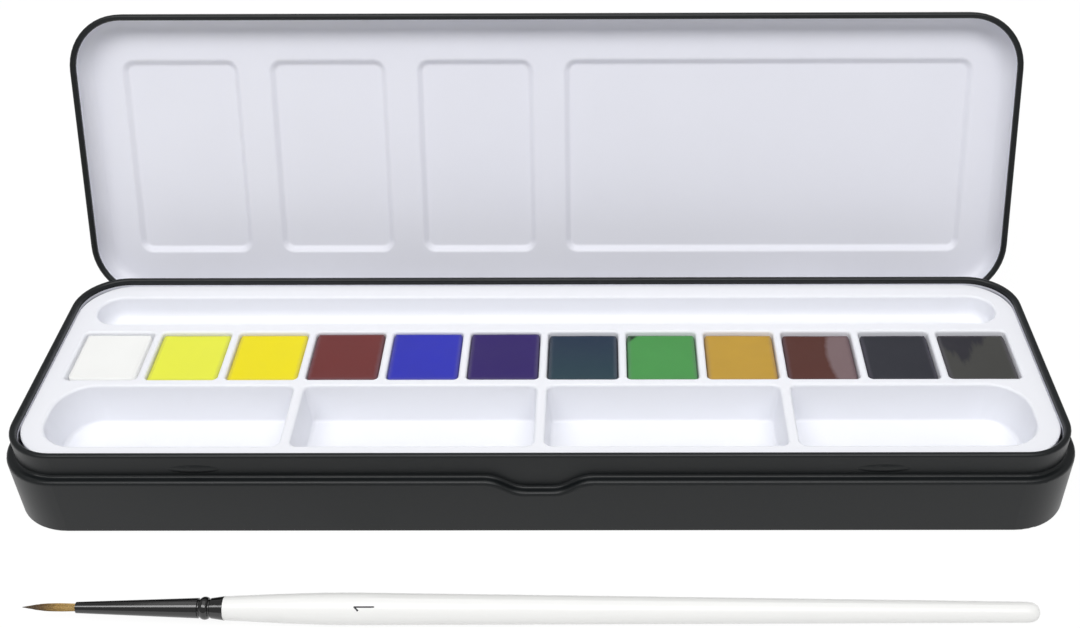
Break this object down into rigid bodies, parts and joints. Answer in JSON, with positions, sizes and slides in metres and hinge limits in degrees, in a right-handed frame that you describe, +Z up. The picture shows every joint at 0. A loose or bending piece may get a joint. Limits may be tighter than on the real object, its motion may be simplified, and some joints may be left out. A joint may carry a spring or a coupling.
{
  "type": "watercolour paint set",
  "caption": "Slim hinged paint tin with mixing wells in its lid, a moulded tray of paint cakes with mixing wells, and a round brush.",
  "frame": {"origin": "centre of the tin's flat underside", "axes": "+X along the tin to the right as seen from the front, +Y towards the hinge, +Z up"},
  "size_m": [0.2134, 0.1232, 0.0678],
  "materials": {
    "tin_enamel": "satin",
    "hinge_wire": "bright",
    "tray_plastic": "semi-gloss",
    "brush_hair": "soft hair",
    "ferrule_lacquer": "gloss",
    "handle_lacquer": "gloss lacquer",
    "paint_01_white": "dried watercolour, titanium white",
    "paint_02_lemon_yellow": "dried watercolour, lemon yellow",
    "paint_03_warm_yellow": "dried watercolour, warm yellow",
    "paint_04_crimson": "dried watercolour, crimson brown",
    "paint_05_ultramarine": "dried watercolour, ultramarine",
    "paint_06_violet": "dried watercolour, violet",
    "paint_07_viridian": "dried watercolour, viridian",
    "paint_08_sap_green": "dried watercolour, sap green",
    "paint_09_yellow_ochre": "dried watercolour, yellow ochre",
    "paint_10_burnt_sienna": "dried watercolour, burnt sienna",
    "paint_11_indigo": "dried watercolour, indigo",
    "paint_12_ivory_black": "dried watercolour, ivory black"
  },
  "bodies": {
    "tin": {"base_tin": "tin_enamel", "hinge_wire_left": "hinge_wire", "hinge_wire_right": "hinge_wire", "palette_tray": "tray_plastic", "paint_01_white": "paint_01_white", "paint_02_lemon_yellow": "paint_02_lemon_yellow", "paint_03_warm_yellow": "paint_03_warm_yellow", "paint_04_crimson": "paint_04_crimson", "paint_05_ultramarine": "paint_05_ultramarine", "paint_06_violet": "paint_06_violet", "paint_07_viridian": "paint_07_viridian", "paint_08_sap_green": "paint_08_sap_green", "paint_09_yellow_ochre": "paint_09_yellow_ochre", "paint_10_burnt_sienna": "paint_10_burnt_sienna", "paint_11_indigo": "paint_11_indigo", "paint_12_ivory_black": "paint_12_ivory_black"},
    "lid": {"lid": "tin_enamel"},
    "brush": {"brush_hair": "brush_hair", "brush_ferrule": "ferrule_lacquer", "brush_handle": "handle_lacquer"}
  },
  "joints": [
    {"name": "lid_hinge", "type": "hinge", "parent": "tin", "child": "lid", "pos_m": [0, 0.03265, 0.00925], "axis": [1, 0, 0], "range_deg": [0, 111.6]},
    {"name": "brush_lift", "type": "slide", "parent": "tin", "child": "brush", "axis": [0, 0, 1], "range_m": [0, 0.06]}
  ]
}
